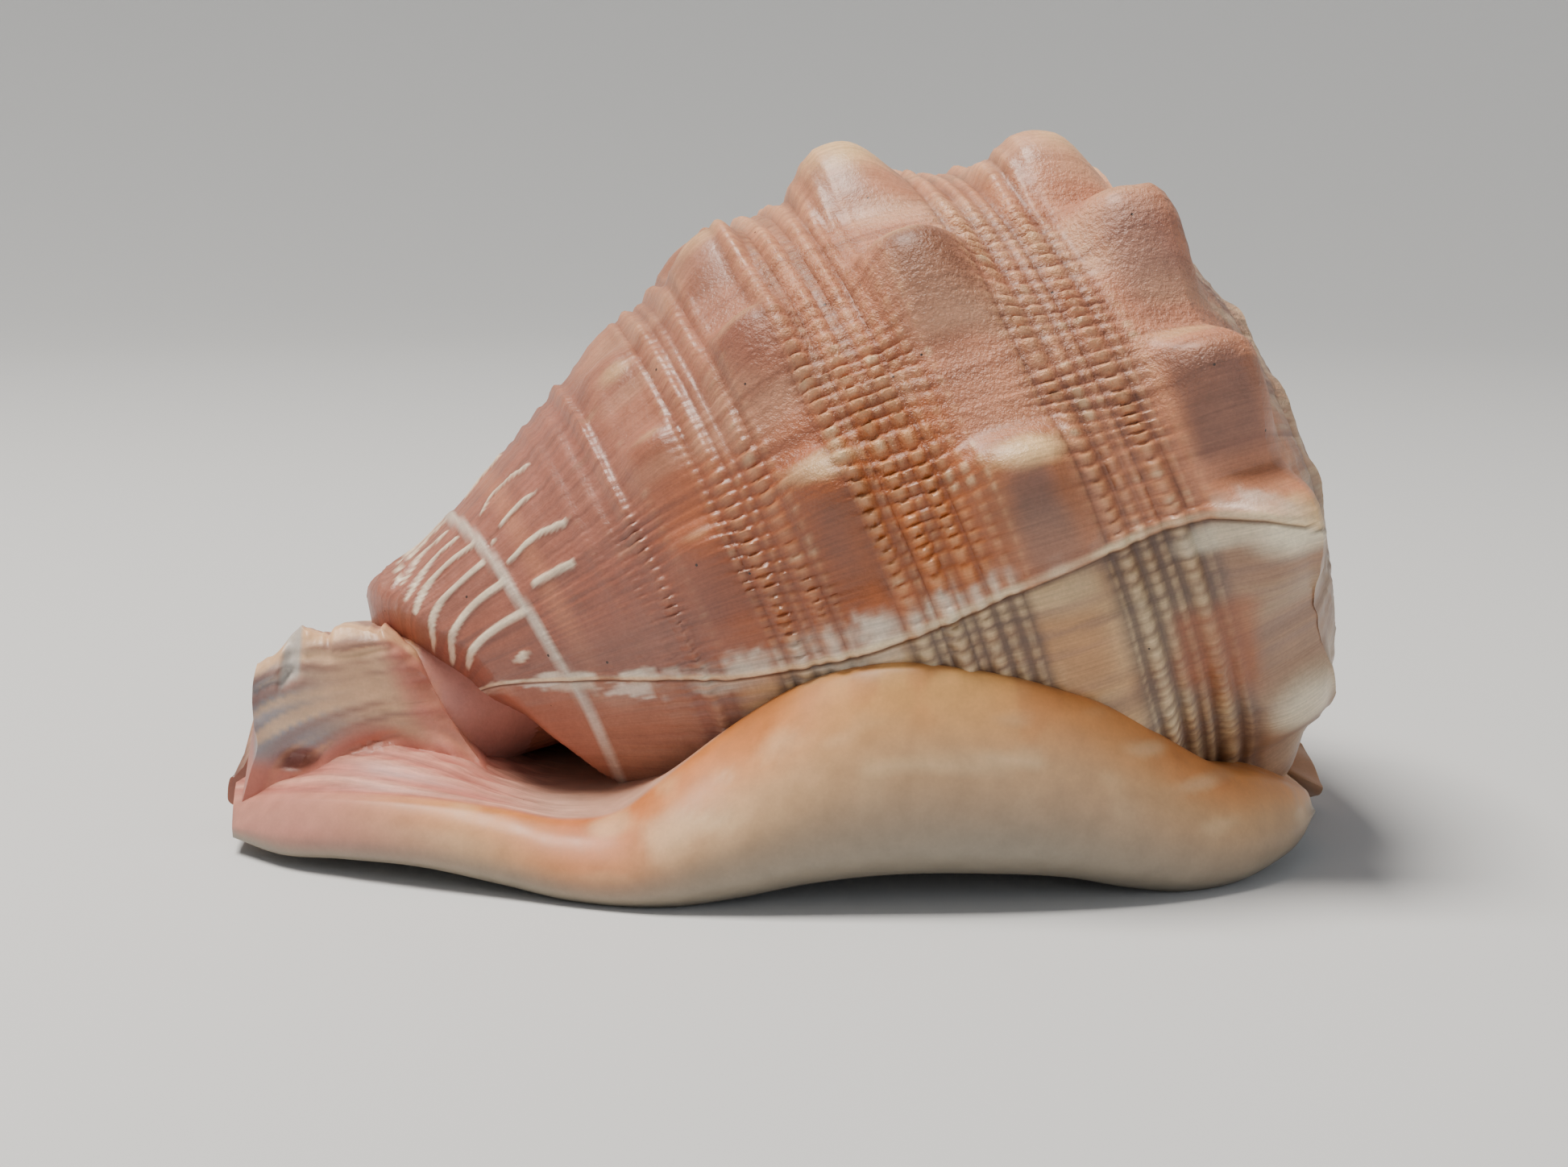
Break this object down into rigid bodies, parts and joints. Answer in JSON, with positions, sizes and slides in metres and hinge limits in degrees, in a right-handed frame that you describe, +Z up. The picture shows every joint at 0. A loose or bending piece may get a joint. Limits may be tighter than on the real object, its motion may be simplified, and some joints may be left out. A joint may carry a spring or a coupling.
{
  "type": "helmet shell",
  "caption": "Heavy sea shell lying on its mouth: low spire, knobbed last whorl with beaded cords, broad smooth shield, toothed slit of a mouth and short upturned canal.",
  "frame": {"origin": "middle of the box on the ground the shell rests on", "axes": "+X from the canal to the apex, along the shell; -Y the side of the smooth shield; +Z up, away from the mouth"},
  "size_m": [0.1454, 0.109, 0.0905],
  "materials": {
    "shell": "dull gloss of old shell, cream to orange-brown"
  },
  "bodies": {
    "root": {"helmet_shell": "shell"}
  },
  "joints": []
}
